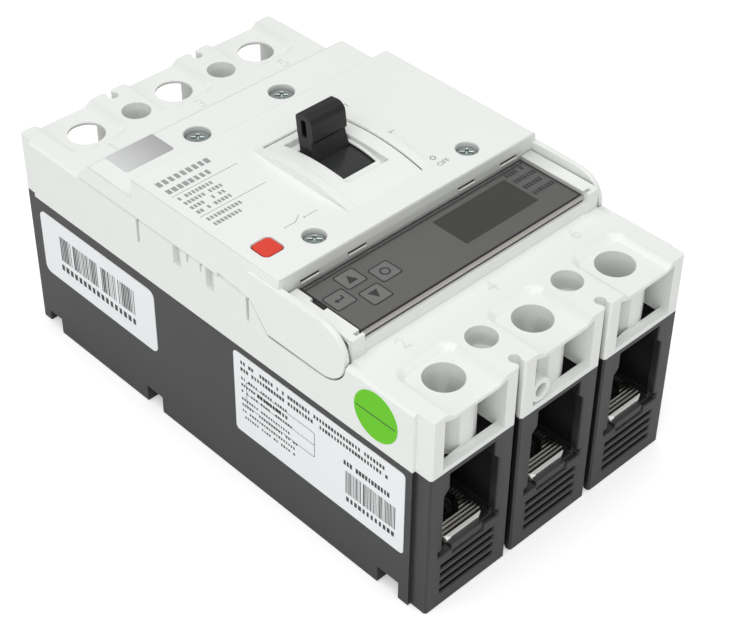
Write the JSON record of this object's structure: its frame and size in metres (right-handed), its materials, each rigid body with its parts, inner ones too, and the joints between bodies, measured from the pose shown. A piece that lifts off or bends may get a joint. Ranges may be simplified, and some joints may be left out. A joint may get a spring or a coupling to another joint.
{
  "type": "molded case circuit breaker",
  "caption": "Three-pole molded case circuit breaker with a dark base, white covers, a black toggle handle, a small display unit under a smoked window and screw terminals at both ends.",
  "frame": {"origin": "centre of the flat back of the base", "axes": "+X across the poles toward poles 5 and 6, +Y along the poles toward the line end, +Z out of the mounting plate toward the handle"},
  "size_m": [0.0902, 0.154, 0.0852],
  "materials": {
    "dark_base": "fine moulded grain",
    "white_cover": "satin moulded",
    "white_panel": "satin moulded",
    "grey_label": "printed film",
    "lcd": "display glass, switched off",
    "key_pad": "membrane key",
    "smoked_window": "clear grey plastic",
    "black_handle": "satin moulded",
    "red_button": "semi-gloss",
    "zinc_screw": "zinc plated",
    "plated_terminal": "tin plated, ribbed",
    "black_carrier": "moulded",
    "grey_plate": "satin",
    "white_sticker": "satin film",
    "green_sticker": "satin film"
  },
  "bodies": {
    "body": {"base": "dark_base", "main_cover": "white_cover", "aux_cover": "white_panel", "display_frame": "white_panel", "label_plate": "grey_label", "lcd_screen": "lcd", "back_key": "key_pad", "up_key": "key_pad", "enter_key": "key_pad", "down_key": "key_pad", "strip_screw_left": "zinc_screw", "strip_screw_right": "zinc_screw", "panel_screw_right": "zinc_screw", "panel_screw_left": "zinc_screw", "line_terminal_1": "plated_terminal", "line_terminal_3": "plated_terminal", "line_terminal_5": "plated_terminal", "load_terminal_2": "plated_terminal", "load_terminal_4": "plated_terminal", "load_terminal_6": "plated_terminal", "line_nut_carrier_1": "black_carrier", "line_nut_carrier_3": "black_carrier", "line_nut_carrier_5": "black_carrier", "load_nut_carrier_2": "black_carrier", "load_nut_carrier_4": "black_carrier", "load_nut_carrier_6": "black_carrier", "emblem_plate": "grey_plate", "serial_sticker": "white_sticker", "data_sticker": "white_sticker", "check_sticker": "green_sticker"},
    "toggle": {"handle": "black_handle", "handle_slide": "black_handle"},
    "trip": {"trip_button": "red_button"},
    "flap": {"window_flap": "smoked_window"}
  },
  "joints": [
    {"name": "toggle_hinge", "type": "hinge", "parent": "body", "child": "toggle", "pos_m": [0, 0.001, 0.037], "axis": [1, 0, 0], "range_deg": [0, 14]},
    {"name": "trip_slide", "type": "slide", "parent": "body", "child": "trip", "axis": [0, 0, -1], "range_m": [0, 0.0012], "stiffness_N_per_m": 200},
    {"name": "window_hinge", "type": "hinge", "parent": "body", "child": "flap", "pos_m": [0, -0.0484, 0.06855], "axis": [1, 0, 0], "range_deg": [0, 100]}
  ]
}
